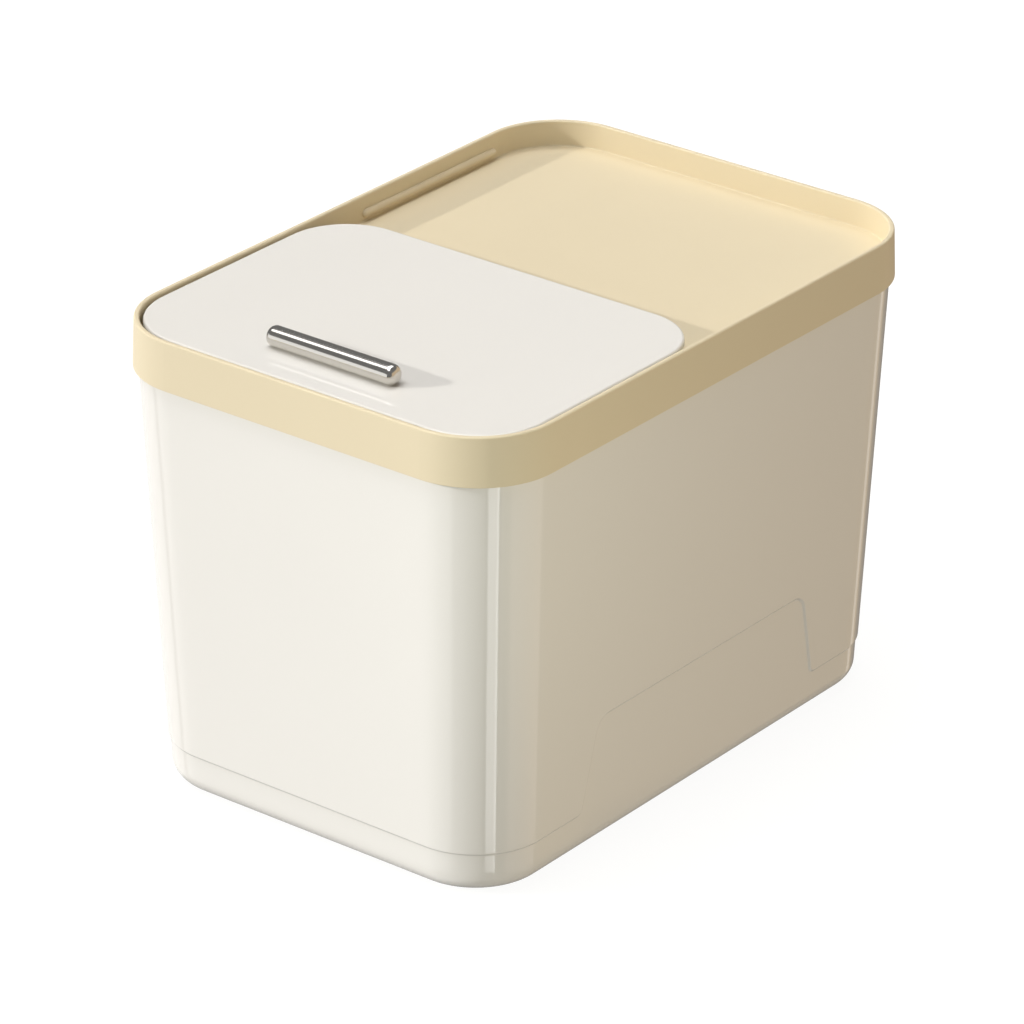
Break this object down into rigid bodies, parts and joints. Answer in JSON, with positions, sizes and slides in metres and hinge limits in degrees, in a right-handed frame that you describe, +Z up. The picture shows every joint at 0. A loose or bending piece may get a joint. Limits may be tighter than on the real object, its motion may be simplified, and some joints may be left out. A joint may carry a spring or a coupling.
{
  "type": "rice storage bin",
  "caption": "Kitchen rice bin: a drafted body, a lift-off cover with a recessed tray, and a flip lid at the front with a bar handle.",
  "frame": {"origin": "on the floor that the feet stand on, under the middle of the cover's outline", "axes": "+Z up; +Y along the length towards the open tray, with the flip lid and its handle at -Y; +X across the width"},
  "size_m": [0.25, 0.36, 0.2646],
  "materials": {
    "white_plastic": "gloss",
    "cream_plastic": "satin",
    "silicone": "matte",
    "chrome": "polished",
    "steel": "plain zinc",
    "foot_rubber": "matte"
  },
  "bodies": {
    "bin": {"body": "white_plastic", "foot_front_left": "foot_rubber", "foot_front_right": "foot_rubber", "foot_rear_left": "foot_rubber", "foot_rear_right": "foot_rubber"},
    "cover_body": {"cover": "cream_plastic", "rim_seal": "silicone", "hinge_pin_left": "steel", "hinge_pin_right": "steel"},
    "lid_body": {"lid": "white_plastic", "lid_inner_panel": "white_plastic", "lid_seal": "silicone", "handle": "chrome", "handle_screws": "steel", "panel_screws": "steel"}
  },
  "joints": [
    {"name": "cover_lift", "type": "slide", "parent": "bin", "child": "cover_body", "axis": [0, 0, 1], "range_m": [0, 0.04]},
    {"name": "lid_hinge", "type": "hinge", "parent": "cover_body", "child": "lid_body", "pos_m": [0, -0.0045, 0.2474], "axis": [-1, 0, 0], "range_deg": [0, 105]}
  ]
}
